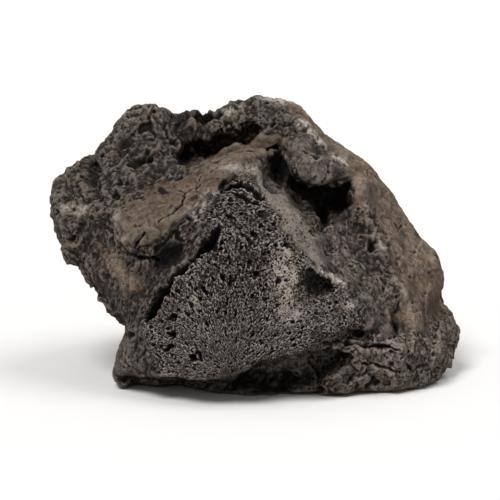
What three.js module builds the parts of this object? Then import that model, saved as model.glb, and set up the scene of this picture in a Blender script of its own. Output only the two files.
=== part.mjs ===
// A block of lava rock: one broken piece of vesicular basalt, about 200 mm wide, lying on the face it
// sits on best. It is a single stone, so it is a single closed mesh.
//
// The stone is described as a few broken masses, each the convex hull of its own corners, melted together
// along their joins, with hollows sunk into the result and the roughness of a clinkery flow added. That
// gives a field over space, negative inside the stone, and the mesh is the net of points where it is zero.
//
// Millimetres. +X is the stone's long way, +Y runs from its steep porous face to its back, +Z is up.
import * as THREE from "three";
import { ConvexHull } from "three/addons/math/ConvexHull.js";
import { SimplexNoise } from "three/addons/math/SimplexNoise.js";

// Driving dimensions.
const WIDTH = 200; // overall, along X
const CELL = 5.2; // the net's mesh size
const MELT = 5; // how far two masses run into each other where they meet
const LODGED_MELT = 2; // the same for a lump that stands in a hollow
const HOLLOW_EDGE = 3; // rounding of a hollow's rim
const FILLED = -0.3; // depth given to a grid point that is filled in
const REACH = new THREE.Box3(new THREE.Vector3(-112, -78, -12), new THREE.Vector3(112, 88, 145));

// Roughness: wavelength and height of each scale of lump, in millimetres.
const ROUGHNESS = [
  { wave: 46, height: 2.2 },
  { wave: 21, height: 1.5 },
  { wave: 11, height: 0.8 },
];

// The broken masses, each listed by its corners.
const MASSES = {
  // The steep porous spire in front: crest, right edge, lower lip, left edge, then its root in the stone.
  spire: [
    [-6, -15, 105], [-4, 1, 112], [12, 4, 114], [13, -22, 95], [20, -30, 82], [37, -40, 62],
    [41, -52, 36], [20, -58, 27], [-8, -61, 14], [-31, -56, 11], [-50, -46, 11], [-61, -38, 12],
    [-8, -62, 46], [13, -60, 50], [-58, -39, 22], [-54, -44, 34], [-36, -45, 56], [-18, -43, 75],
    [-30, 20, 92], [20, 25, 96], [40, 10, 66], [45, 0, 10], [-50, 0, 10],
  ],
  // The brown shelf that runs from the crest down to the left.
  shelf: [
    [-66, -28, 84], [-51, -24, 93], [-27, -8, 104], [-16, -4, 107], [-4, 1, 113], [-6, -15, 105],
    [-24, -30, 93], [-43, -40, 82], [-58, -41, 73], [-65, -38, 77], [-56, -36, 68], [-12, -12, 92],
    [-50, -16, 80], [-24, -37, 86],
  ],
  // The cheek between the shelf and the spire's left edge.
  cheek: [
    [-62, -34, 74], [-22, -30, 88], [-18, -40, 76], [-36, -43, 58], [-54, -42, 36], [-57, -37, 27],
    [-55, -22, 38], [-66, -14, 52], [-68, -30, 56], [-60, -38, 58], [-40, 0, 60],
  ],
  // The left shoulder, which overhangs the ground.
  shoulder: [
    [-97, -5, 82], [-94, 0, 91], [-83, 5, 100], [-70, 8, 106], [-92, -8, 70], [-68, -14, 52],
    [-55, -16, 38], [-53, -24, 25], [-84, -23, 78], [-66, -27, 86], [-51, -22, 93], [-30, -6, 103],
    [-51, 0, 107], [-35, 20, 117],
    [-86, 28, 88], [-80, 30, 64], [-60, 40, 38], [-50, 44, 100], [-40, 20, 18],
  ],
  // The knoll at the top left.
  knoll: [
    [-62, 12, 118], [-57, 14, 127], [-52, 16, 130], [-43, 18, 128], [-69, 9, 107], [-44, 4, 106],
    [-58, 34, 123], [-50, 38, 119], [-66, 34, 106], [-36, 30, 112],
  ],
  // The rear ridge, from the knoll to the summit.
  ridge: [
    [-38, 26, 124], [-23, 32, 122], [-6, 34, 121], [6, 36, 128], [17, 35, 130], [21, 30, 127],
    [24, 16, 117], [11, 20, 117], [6, 8, 112], [-30, 22, 112], [-42, 50, 108], [0, 58, 114], [24, 54, 112],
    [-20, 40, 80], [20, 30, 80],
  ],
  // The right flank, with a weathered skin from the summit to the right-hand tip.
  flank: [
    [17, 35, 130], [32, 25, 117], [46, 20, 109], [60, 18, 98], [75, 16, 79], [89, 14, 59], [95, 12, 46],
    [24, 14, 117], [43, 2, 100], [55, -8, 79], [63, -18, 61], [67, -25, 46], [80, -28, 29],
    [24, 54, 112], [60, 50, 84], [86, 40, 48], [90, 30, 12], [30, 20, 60], [50, 0, 20],
  ],
  // The floor of the basin between the spire and the flank.
  basin: [
    [32, -8, 84], [46, -20, 70], [30, -30, 74], [36, -36, 62], [52, -32, 50], [41, -52, 36],
    [66, -40, 30], [66, -26, 42], [30, 20, 80], [50, 10, 30], [20, 0, 30],
  ],
  // The toe at the right-hand tip.
  toe: [
    [95, 12, 36], [102, 5, 22], [99, 2, 12], [95, -13, 4], [88, -28, 18], [90, -22, -3], [70, -42, 24],
    [68, -38, -3], [92, 26, 3], [60, 30, 30], [44, -20, 30], [90, 30, 26],
  ],
  // The base under the spire's lip, which is set back from it.
  base: [
    [-65, -28, 1], [-66, -31, 8], [-60, -37, 18], [-50, -30, 0], [-30, -32, -1], [0, -49, -4],
    [30, -44, -4], [44, -38, -4], [68, -36, -4], [66, -40, 24], [42, -47, 26], [20, -50, 24],
    [-60, 20, -4], [-20, 56, -4], [40, 58, -4], [80, 30, -4], [-50, 40, 40], [60, 50, 40],
  ],
  // The blunt back of the stone.
  back: [
    [-62, 44, 98], [-84, 34, 60], [-60, 56, 66], [-40, 58, 104], [8, 62, 110], [50, 56, 88], [84, 44, 46],
    [88, 34, 16], [58, 68, 40], [8, 74, 54], [-44, 68, 44], [-62, 50, 12], [-20, 64, 6], [40, 66, 4],
    [-50, 0, 60], [50, 0, 50], [0, -20, 60],
  ],
  // The solid middle that the other masses are stuck to.
  heart: [
    [-56, -10, 92], [-52, -24, 60], [-48, -30, 20], [-40, -36, 6], [30, -40, 6], [74, -32, -2], [70, -26, 24],
    [66, -24, 38], [44, -10, 60], [26, -4, 88], [0, -6, 98], [-50, 40, 92], [0, 48, 112], [24, 44, 112],
    [40, 44, 98], [60, 44, 60], [70, 30, 20], [-50, 40, 20], [50, 40, 6],
  ],
};

// Lumps that stand in the hollows, listed the same way.
const LODGED = {
  // The rounded boss that hangs over the cave.
  boss: [
    [19, -4, 98], [21, -10, 107], [26, -10, 112], [38, -8, 111], [46, -4, 104], [47, -4, 97], [42, -13, 93],
    [29, -17, 92], [34, -19, 100], [23, -15, 99], [24, 14, 100], [44, 14, 98],
  ],
};

// The hollows: centre, half axes, and the lean about Y that lays them along the stone.
const HOLLOWS = {
  cave: { at: [34, -16, 89], half: [19, 20, 12], lean: 24 },
  niche: { at: [15, -12, 100], half: [7, 12, 13], lean: 25 },
  cleft: { at: [-6, 9, 111], half: [17, 6, 10], lean: -8 },
  gully: { at: [-25, 5, 106], half: [12, 6, 9], lean: -38 },
  pocket: { at: [28, -54, 50], half: [7, 8, 5], lean: -10 },
  undercut: { at: [14, -64, 12], half: [36, 14, 10], lean: -14 },
  eye: { at: [-74, -20, 98], half: [6, 9, 9], lean: 0 },
};

/** Distance to the convex hull of some corners, near enough: negative inside. */
function massField(corners) {
  const hull = new ConvexHull().setFromPoints(corners.map((corner) => new THREE.Vector3(...corner)));
  return (point) => Math.max(...hull.faces.map((face) => face.distanceToPoint(point)));
}

/** Distance to a leaning ellipsoid, near enough: negative inside. */
function hollowField({ at, half, lean }) {
  const centre = new THREE.Vector3(...at);
  const upright = new THREE.Quaternion().setFromAxisAngle(
    new THREE.Vector3(0, 1, 0),
    THREE.MathUtils.degToRad(-lean),
  );
  const local = new THREE.Vector3();
  const axes = new THREE.Vector3(...half);
  return (point) =>
    (local.copy(point).sub(centre).applyQuaternion(upright).divide(axes).length() - 1) * Math.min(...half);
}

/** The lesser of two distances, with the corner between them rounded over a width. */
function smoothMin(a, b, width) {
  const share = Math.max(width - Math.abs(a - b), 0) / width;
  return Math.min(a, b) - share * share * width * 0.25;
}

const smoothMax = (a, b, width) => -smoothMin(-a, -b, width);

/** The stone as a field over space: negative inside, and nothing of it below the ground. */
function stoneField() {
  const masses = Object.values(MASSES).map(massField);
  const hollows = Object.values(HOLLOWS).map(hollowField);
  const lodged = Object.values(LODGED).map(massField);
  THREE.MathUtils.seededRandom(11);
  const noise = new SimplexNoise({ random: () => THREE.MathUtils.seededRandom() });
  const lump = (p, { wave, height }) => height * noise.noise3d(p.x / wave, p.y / wave, p.z / wave);
  return (point) => {
    const solid = masses.reduce((nearest, mass) => smoothMin(nearest, mass(point), MELT), 1e3);
    const hollowed = hollows.reduce((inside, hollow) => smoothMax(inside, -hollow(point), HOLLOW_EDGE), solid);
    const filled = lodged.reduce((nearest, mass) => smoothMin(nearest, mass(point), LODGED_MELT), hollowed);
    const rough = ROUGHNESS.reduce((surface, scale) => surface + lump(point, scale), filled);
    return Math.max(rough, -point.z);
  };
}

/**
 * Fills in a point wherever the stone is inside at two opposite corners of a cell's face and outside at the
 * other two, so that no edge of the net is shared by four faces.
 */
function fillDiagonals(values, size, strides) {
  const sizes = size.toArray();
  for (let changed = true; changed; ) {
    changed = false;
    for (let n = 0; n < values.length; n++) {
      const at = strides.map((stride, axis) => Math.floor(n / stride) % sizes[axis]);
      for (const axis of [0, 1, 2]) {
        const [b, c] = [(axis + 1) % 3, (axis + 2) % 3];
        if (at[b] > sizes[b] - 2 || at[c] > sizes[c] - 2) continue;
        const ring = [n, n + strides[b], n + strides[b] + strides[c], n + strides[c]];
        const [p, q, r, s] = ring.map((i) => values[i] < 0);
        if (p !== r || q !== s || p === q) continue;
        values[p ? ring[1] : ring[0]] = FILLED;
        changed = true;
      }
    }
  }
}

/** Fills in every pocket of space that cannot be reached from the grid's first point. */
function fillSealed(values, strides) {
  const reached = new Uint8Array(values.length);
  const steps = strides.flatMap((stride) => [stride, -stride]);
  const front = [0];
  while (front.length) {
    const from = front.pop();
    for (const next of steps.map((step) => from + step)) {
      if (!(values[next] >= 0) || reached[next]) continue;
      reached[next] = 1;
      front.push(next);
    }
  }
  for (let n = 0; n < values.length; n++) if (!reached[n] && values[n] >= 0) values[n] = FILLED;
}

/** Moves a point along the field's slope onto the surface, but no further than a reach. */
function settle(point, field, reach) {
  const span = 0.5;
  const slope = new THREE.Vector3();
  const start = point.clone();
  for (let step = 0; step < 3; step++) {
    const here = field(point);
    for (const axis of ["x", "y", "z"]) {
      const there = point.clone();
      there[axis] += span;
      slope[axis] = (field(there) - here) / span;
    }
    point.addScaledVector(slope, -here / Math.max(slope.lengthSq(), 0.3));
    point.sub(start).clampLength(0, reach).add(start);
  }
}

/** The net of points where a field is zero: one vertex in each cell that the surface crosses. */
function netGeometry(field, box, cell) {
  const size = box.getSize(new THREE.Vector3()).divideScalar(cell).ceil().addScalar(1);
  const [nx, ny, nz] = size.toArray();
  const strides = [1, nx, nx * ny];
  const point = new THREE.Vector3();
  const values = new Float32Array(nx * ny * nz);
  for (let k = 0, n = 0; k < nz; k++)
    for (let j = 0; j < ny; j++)
      for (let i = 0; i < nx; i++, n++) values[n] = field(point.set(i, j, k).multiplyScalar(cell).add(box.min));

  fillDiagonals(values, size, strides);
  fillSealed(values, strides);

  const corners = [...Array(8).keys()].map((c) => [c & 1, (c >> 1) & 1, (c >> 2) & 1]);
  const edges = corners.flatMap((a, i) =>
    [1, 2, 4].filter((bit) => !(i & bit)).map((bit) => [a, corners[i | bit]]),
  );
  const at = ([i, j, k]) => i * strides[0] + j * strides[1] + k * strides[2];
  const vertexOf = new Map();
  const positions = [];
  const quads = [];
  for (let k = 0; k < nz - 1; k++)
    for (let j = 0; j < ny - 1; j++)
      for (let i = 0; i < nx - 1; i++) {
        const origin = at([i, j, k]);
        const crossings = edges.filter(([a, b]) => values[origin + at(a)] < 0 !== values[origin + at(b)] < 0);
        if (!crossings.length) continue;
        const mean = new THREE.Vector3();
        for (const [a, b] of crossings) {
          const [va, vb] = [values[origin + at(a)], values[origin + at(b)]];
          mean.add(new THREE.Vector3(...a).lerp(new THREE.Vector3(...b), va / (va - vb)));
        }
        mean.divideScalar(crossings.length).add(new THREE.Vector3(i, j, k)).multiplyScalar(cell).add(box.min);
        settle(mean, field, cell * 0.4);
        vertexOf.set(origin, positions.length);
        positions.push(mean);
        // Each grid edge that starts here and crosses the surface is ringed by four cells.
        for (const axis of [0, 1, 2]) {
          const [u, v] = [strides[(axis + 1) % 3], strides[(axis + 2) % 3]];
          const inside = values[origin] < 0;
          if (inside === values[origin + strides[axis]] < 0) continue;
          const ring = [origin, origin - u, origin - u - v, origin - v];
          quads.push(inside ? ring : ring.reverse());
        }
      }
  const index = quads.flatMap((ring) => {
    const [a, b, c, d] = ring.map((cellIndex) => vertexOf.get(cellIndex));
    const flip = positions[a].distanceTo(positions[c]) > positions[b].distanceTo(positions[d]);
    return flip ? [a, b, d, b, c, d] : [a, b, c, a, c, d];
  });
  return new THREE.BufferGeometry().setFromPoints(positions).setIndex(index);
}

/** The stone's mesh, set down on the ground, centred over the origin and scaled to its width. */
function stoneGeometry() {
  const geometry = netGeometry(stoneField(), REACH, CELL);
  const place = geometry.attributes.position;
  for (let i = 0; i < place.count; i++) place.setZ(i, Math.max(place.getZ(i), 0));
  geometry.computeBoundingBox();
  const size = geometry.boundingBox.getSize(new THREE.Vector3());
  const centre = geometry.boundingBox.getCenter(new THREE.Vector3());
  geometry.translate(-centre.x, -centre.y, 0);
  const k = WIDTH / size.x;
  return geometry.scale(k, k, k);
}

const material = new THREE.MeshStandardMaterial({ color: 0x453e39, roughness: 0.95, metalness: 0 });
const stone = new THREE.Mesh(stoneGeometry(), material);
stone.name = "lava_rock";
const rock = new THREE.Group();
rock.add(stone);
export default rock;
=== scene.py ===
"""A block of lava rock: one broken piece of vesicular basalt, lying on its flattest side.

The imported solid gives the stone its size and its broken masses. The stone shown is a finer skin over that
solid: the same block, with its hollows cut back, its cracks opened, its vesicles blown and its clinker
lumps piled on. Lengths inside the classes are millimetres in the frame of the solid, +X along the stone,
+Y from its steep porous face to its back and +Z up; Blender gets metres.
"""

import logging
import math
from collections.abc import Iterator
from dataclasses import dataclass, field
from enum import Enum
from typing import Any

import bmesh
import bpy
import numpy as np
from mathutils import Matrix, Vector
from mathutils.bvhtree import BVHTree
from mathutils.kdtree import KDTree

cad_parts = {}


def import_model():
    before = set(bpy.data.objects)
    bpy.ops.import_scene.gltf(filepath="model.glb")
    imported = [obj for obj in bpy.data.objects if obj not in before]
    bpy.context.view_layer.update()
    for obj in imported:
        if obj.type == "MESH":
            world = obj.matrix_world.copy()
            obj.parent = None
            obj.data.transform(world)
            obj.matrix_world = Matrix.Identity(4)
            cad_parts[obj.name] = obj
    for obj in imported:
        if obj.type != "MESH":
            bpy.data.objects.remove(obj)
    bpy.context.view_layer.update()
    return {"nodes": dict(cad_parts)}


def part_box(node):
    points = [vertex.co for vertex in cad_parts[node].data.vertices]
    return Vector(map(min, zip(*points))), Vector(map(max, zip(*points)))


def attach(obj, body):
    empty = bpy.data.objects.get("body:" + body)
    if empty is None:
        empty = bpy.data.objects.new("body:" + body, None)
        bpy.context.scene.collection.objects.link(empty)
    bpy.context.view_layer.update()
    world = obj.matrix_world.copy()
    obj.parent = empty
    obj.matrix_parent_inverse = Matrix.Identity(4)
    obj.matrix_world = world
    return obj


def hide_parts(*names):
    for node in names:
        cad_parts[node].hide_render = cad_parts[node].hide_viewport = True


log = logging.getLogger("lava_rock")

MM = 0.001
FAR = 1e9
NODE = "lava_rock"

Array = np.ndarray
Point = tuple[float, float, float]
Spot = tuple[float, float]
Layer = tuple[Array, Array]


class Zone(Enum):
    """The kinds of surface that the stone shows."""

    POROUS = "porous"
    GRAINED = "grained"
    SLAB = "slab"
    SKIN = "skin"
    BAND = "band"
    BLOCK = "block"
    DENSE = "dense"
    BOSS = "boss"
    CLINKER = "clinker"


# ---- Seeded noise over space -------------------------------------


# Noise above which nothing is gap where gaps take no share, and how much noise their sloping sides take.
GAP_TOP = 0.75
GAP_SIDE = 0.28


def cell_hash(cells: Array, seed: int) -> Array:
    """Scrambles whole-numbered cells into 32 bits each.

    Args:
        cells: Cell indices, one row of three for each point.
        seed: Picks one pattern out of many.

    Returns:
        One unsigned number for each row.
    """
    c = cells.astype(np.int64).astype(np.uint32)
    h = c[:, 0] * np.uint32(0x8DA6B343) ^ c[:, 1] * np.uint32(0xD8163841) ^ c[:, 2] * np.uint32(0xCB1AB31F)
    h ^= np.uint32((seed * 0x9E3779B1) & 0xFFFFFFFF)
    for shift, factor in ((15, 0x2C1B3C6D), (12, 0x297A2D39)):
        h ^= h >> np.uint32(shift)
        h *= np.uint32(factor)
    return h ^ (h >> np.uint32(15))


def hash_vectors(h: Array) -> Array:
    """Takes three numbers from 0 to 1 out of each hash."""
    fields = [(h >> np.uint32(shift)) & np.uint32(1023) for shift in (0, 10, 20)]
    return np.stack(fields, axis=1).astype(np.float32) / np.float32(1023)


def noise(points: Array, wave: float, seed: int) -> Array:
    """Smooth gradient noise.

    Args:
        points: Places.
        wave: Wavelength in millimetres.
        seed: Picks the pattern.

    Returns:
        Values from about -1 to 1.
    """
    scaled = points.astype(np.float32) / np.float32(wave)
    base = np.floor(scaled)
    part = scaled - base
    ease = part * part * part * (part * (part * 6 - 15) + 10)
    total = np.zeros(len(points), np.float32)
    for corner in np.ndindex(2, 2, 2):
        offset = np.array(corner, np.float32)
        slope = hash_vectors(cell_hash(base + offset, seed)) * 2 - 1
        share = np.prod(np.where(offset > 0, ease, 1 - ease), axis=1)
        total += share * np.sum(slope * (part - offset), axis=1)
    return total * np.float32(1.5)


def layered_noise(points: Array, wave: float, layers: int, seed: int, gain: float = 0.5) -> Array:
    """Noise summed over halving wavelengths, so that it is rough at every scale.

    Args:
        points: Places.
        wave: Longest wavelength in millimetres.
        layers: How many wavelengths are summed.
        seed: Picks the pattern.
        gain: Height of each wavelength against the one before.

    Returns:
        Values from about -1 to 1.
    """
    total = np.zeros(len(points), np.float32)
    for layer in range(layers):
        total += noise(points, wave / 2**layer, seed + layer) * np.float32(gain**layer)
    return total


def cells_near(points: Array, cell: float, seed: int) -> Iterator[tuple[Array, Array]]:
    """Walks the 27 cells around each point, each with one random kernel.

    Args:
        points: Places.
        cell: Spacing of the kernels in millimetres.
        seed: Picks the pattern.

    Yields:
        For one neighbour: the way from its kernel to the point, in cells, and its three random numbers.
    """
    scaled = points.astype(np.float32) / np.float32(cell)
    base = np.floor(scaled)
    for step in np.ndindex(3, 3, 3):
        home = base + (np.array(step, np.float32) - 1)
        h = cell_hash(home, seed)
        yield scaled - home - hash_vectors(h), hash_vectors(h * np.uint32(2654435761))


def lumps(points: Array, cell: float, seed: int) -> Array:
    """Rounded lumps pressed together.

    Args:
        points: Places.
        cell: Spacing of the lumps.
        seed: Picks the pattern.

    Returns:
        Values from 1 in the middle of a lump to 0 in the creases between them.
    """
    nearest = np.full(len(points), np.float32(FAR))
    for away, _ in cells_near(points, cell, seed):
        nearest = np.minimum(nearest, np.sum(away * away, axis=1))
    return np.clip(1 - nearest / np.float32(0.7), 0, 1)


def bubbles(points: Array, cell: float, radius: Spot, chance: float, seed: int) -> Array:
    """Depth to which round gas bubbles, cut open by a broken surface, eat into it.

    Args:
        points: Places.
        cell: Spacing of the bubbles.
        radius: Smallest and largest bubble, up to half a cell.
        chance: Share of cells that hold a bubble.
        seed: Picks the pattern.

    Returns:
        Depths in millimetres, 0 outside the bubbles.
    """
    deepest = np.zeros(len(points), np.float32)
    low, high = radius
    for away, draw in cells_near(points, cell, seed):
        size = low + (high - low) * draw[:, 0]
        size = np.where(draw[:, 1] < chance, size, 0)
        deepest = np.maximum(deepest, size * size - np.sum(away * away, axis=1) * np.float32(cell * cell))
    return np.sqrt(deepest)


def chips(points: Array, cell: float, seed: int) -> Array:
    """Flat chips at odd angles, as on a hackly fracture.

    Args:
        points: Places.
        cell: Usual width of a chip.
        seed: Picks the pattern.

    Returns:
        Heights from about -1 to 1.
    """
    nearest = np.full(len(points), np.float32(FAR))
    height = np.zeros(len(points), np.float32)
    for away, draw in cells_near(points, cell, seed):
        squared = np.sum(away * away, axis=1)
        height = np.where(squared < nearest, np.sum(away * (draw * 2 - 1), axis=1), height)
        nearest = np.minimum(nearest, squared)
    return height


def gaps(points: Array, wave: float, depth: float, share: float, seed: int) -> Array:
    """Depths of ragged gaps between fragments, which take about a share of the surface, 0 outside them."""
    edge = GAP_TOP - share
    return depth * ramp(layered_noise(points, wave, 3, seed, 0.45), edge, edge + GAP_SIDE)


def stretched(points: Array, along: Point, factor: float) -> Array:
    """Places squeezed along a direction, so that a pattern read there is a factor longer along it."""
    way = np.array(along) / np.linalg.norm(along)
    return points - np.outer(points @ way, way) * (1 - 1 / factor)


def ramp(values: Array, low: float | Array, high: float | Array) -> Array:
    """Smooth step from 0 at low to 1 at high."""
    t = np.clip((values - low) / (high - low), 0, 1)
    return t * t * (3 - 2 * t)


# ---- Where things are on the stone -------------------------------


# Wavelength of the noise that moves a patch's edge, how softly a patch ends in depth, and how much less a
# crack's line has to be right in depth than across.
WANDER_WAVE = 7.0
DEPTH_FADE = 4.0
CRACK_SQUASH = (1.0, 0.4, 1.0)


@dataclass(frozen=True)
class Patch:
    """A stretch of the stone's surface, by its outline as seen from the front.

    Attributes:
        outline: Corners as (x, z).
        feather: Width of its soft edge.
        depth: Lowest and highest y that it reaches.
        wander: How far noise moves its edge.
    """

    outline: tuple[Spot, ...]
    feather: float = 3.0
    depth: Spot = (-200.0, 200.0)
    wander: float = 2.0

    def inside(self, points: Array) -> Array:
        """Measures how far in from the outline each point is.

        Args:
            points: Places.

        Returns:
            Distances in millimetres, negative outside the outline.
        """
        x, z = points[:, 0], points[:, 2]
        nearest = np.full(len(points), FAR)
        within = np.zeros(len(points), bool)
        for (x0, z0), (x1, z1) in zip(self.outline, self.outline[1:] + self.outline[:1]):
            run, rise = x1 - x0, z1 - z0
            along = np.clip(((x - x0) * run + (z - z0) * rise) / (run * run + rise * rise), 0, 1)
            nearest = np.minimum(nearest, np.hypot(x - x0 - along * run, z - z0 - along * rise))
            if rise:
                within ^= ((z0 > z) != (z1 > z)) & (x < x0 + (z - z0) * run / rise)
        return np.where(within, nearest, -nearest)

    def cover(self, points: Array, seed: int = 90) -> Array:
        """Works out how much of each point the patch covers.

        Args:
            points: Places.
            seed: Picks the noise that moves its edge.

        Returns:
            Values from 0 to 1.
        """
        edge = self.inside(points) + self.wander * noise(points, WANDER_WAVE, seed)
        low, high = self.depth
        reach = ramp(points[:, 1], low - DEPTH_FADE, low) * (1 - ramp(points[:, 1], high, high + DEPTH_FADE))
        return ramp(edge, -self.feather / 2, self.feather / 2) * reach


@dataclass(frozen=True)
class Crack:
    """An open crack along a line on the surface.

    Attributes:
        line: Points that it runs through.
        gape: Half its width at each point.
        depth: How deep it is where it is widest.
    """

    line: tuple[Point, ...]
    gape: tuple[float, ...]
    depth: float

    def cut(self, shaken: Array) -> Array:
        """Depth to which the crack opens each point.

        Args:
            shaken: Places in millimetres, shaken by noise so that the crack runs ragged.

        Returns:
            Depths in millimetres, 0 away from the crack.
        """
        widest = max(self.gape)
        deepest = np.zeros(len(shaken))
        for start, end, g0, g1 in zip(self.line, self.line[1:], self.gape, self.gape[1:]):
            a, run = np.array(start), np.subtract(end, start)
            along = np.clip((shaken - a) @ run / (run @ run), 0, 1)
            away = np.linalg.norm((shaken - a - along[:, None] * run) * np.array(CRACK_SQUASH), axis=1)
            gape = g0 + (g1 - g0) * along
            depth = self.depth * np.sqrt(gape / widest)
            deepest = np.maximum(deepest, depth * (1 - ramp(away, gape * 0.45, gape * 1.15)))
        return deepest


def near_line(points: Array, line: tuple[Point, ...], reach: float, seed: int) -> Array:
    """How close each point is to a line, 1 on it and 0 at a reach, with a ragged edge.

    Args:
        points: Places.
        line: Points that the line runs through.
        reach: Where it has faded out.
        seed: Picks the raggedness.

    Returns:
        Values from 0 to 1.
    """
    away = np.full(len(points), FAR)
    for start, end in zip(line, line[1:]):
        a, run = np.array(start), np.subtract(end, start)
        along = np.clip((points - a) @ run / (run @ run), 0, 1)
        away = np.minimum(away, np.linalg.norm(points - a - along[:, None] * run, axis=1))
    ragged = away + 0.35 * reach * noise(points, 1.2 * reach, seed)
    return 1 - ramp(ragged, 0.25 * reach, reach)


@dataclass(frozen=True, kw_only=True)
class Sink(Patch):
    """A hollow cut further back than the solid has it.

    Attributes:
        push: How far, and which way, its floor goes.
    """

    push: Point


@dataclass(frozen=True, kw_only=True)
class ShadePatch(Patch):
    """A hollow or an underside painted near-black, as painted shade.

    Attributes:
        black: How black it is, from 0 to 1.
    """

    black: float


@dataclass(frozen=True)
class Mass:
    """A blunt mass lodged where the solid is hollow.

    Attributes:
        centre: Its middle.
        radii: How far it reaches along x, y and z.
    """

    centre: Point
    radii: Point


ZONES: dict[Zone, tuple[Patch, ...]] = {
    # The brown slab, and the tip of it that shows behind the apex.
    Zone.SLAB: (Patch((
        (-67, 84), (-60, 90), (-51, 95), (-40, 99), (-27, 107), (-14, 111), (-2, 115), (14, 117),
        (14, 112), (-4, 107), (-12, 104), (-18, 99), (-27, 93), (-36, 84), (-44, 78), (-56, 73),
        (-63, 75),
    ), feather=2.2, depth=(-60, 14), wander=3.5),),
    # The smooth grey band down the face's right edge.
    Zone.BAND: (Patch((
        (-2, 106), (5, 103), (14, 93), (24, 80), (32, 70), (34, 64), (28, 62), (17, 73), (8, 86), (0, 98),
    ), feather=4, depth=(-80, -10), wander=3),),
    # The weathered skin of the right flank, carried round to the back, and a patch low on the left.
    Zone.SKIN: (
        Patch((
            (12, 131), (24, 122), (34, 112), (44, 102), (45, 96), (46, 86), (57, 78), (62, 66), (66, 54),
            (70, 44), (64, 34), (80, 28), (104, 30), (110, 60), (90, 90), (60, 120), (30, 136),
        ), feather=5, depth=(-60, 60), wander=4),
        Patch((
            (-75, 70), (-66, 68), (-58, 60), (-55, 52), (-61, 50), (-70, 58),
        ), feather=8, depth=(-60, 0), wander=5),
    ),
    # The rough block under the lip at the lower right, and the foot.
    Zone.BLOCK: (Patch((
        (-4, 6), (20, 24), (44, 30), (66, 30), (84, 30), (104, 30), (110, -5), (-70, -5), (-70, 8),
        (-40, 5),
    ), feather=5, depth=(-90, 90), wander=3),),
    # The knoll at the left, and the basin right of the face.
    Zone.DENSE: (
        Patch((
            (-66, 116), (-66, 130), (-56, 140), (-44, 136), (-42, 124), (-50, 116),
        ), feather=5, wander=3),
        Patch((
            (30, 77), (40, 80), (48, 76), (54, 62), (60, 50), (66, 42), (64, 33), (52, 30), (52, 38),
            (46, 50), (34, 58), (30, 66),
        ), feather=5, depth=(-60, 10), wander=4),
    ),
    # The dense boss lodged over the cave, and the lower left corner.
    Zone.BOSS: (
        Patch((
            (13, 115), (28, 117), (38, 112), (45, 104), (44, 94), (40, 90), (24, 92), (15, 97), (12, 106),
        ), feather=3, depth=(-60, 14), wander=2),
        Patch((
            (-72, 32), (-63, 30), (-56, 18), (-50, 8), (-60, 2), (-72, 2),
        ), feather=6, depth=(-90, 0), wander=4),
    ),
    # The steep vesicular face, from its apex to its lip.
    Zone.POROUS: (Patch((
        (-8, 103), (2, 100), (14, 86), (27, 66), (30, 57), (44, 50), (50, 38), (44, 28), (20, 26),
        (-4, 6), (-44, 6), (-54, 34), (-43, 55), (-33, 66), (-21, 78), (-24, 88),
    ), feather=5, depth=(-90, -14), wander=3),),
    # Left of the long crack the stone is fine grained and striped.
    Zone.GRAINED: (Patch((
        (-8, 104), (-26, 92), (-44, 78), (-58, 72), (-66, 62), (-72, 50), (-62, 30), (-66, 6), (-44, 4),
        (-54, 34), (-42, 56), (-31, 66), (-18, 80),
    ), feather=6, depth=(-90, -5), wander=4),),
}

# The left end of the boss, and the knob that closes the cave at its right.
MASSES: tuple[Mass, ...] = (
    Mass((21, 1, 105), (8, 14, 9)),
    Mass((20, 4, 112), (8, 14, 6)),
    Mass((49, -2, 91), (6, 11, 8)),
)

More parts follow.
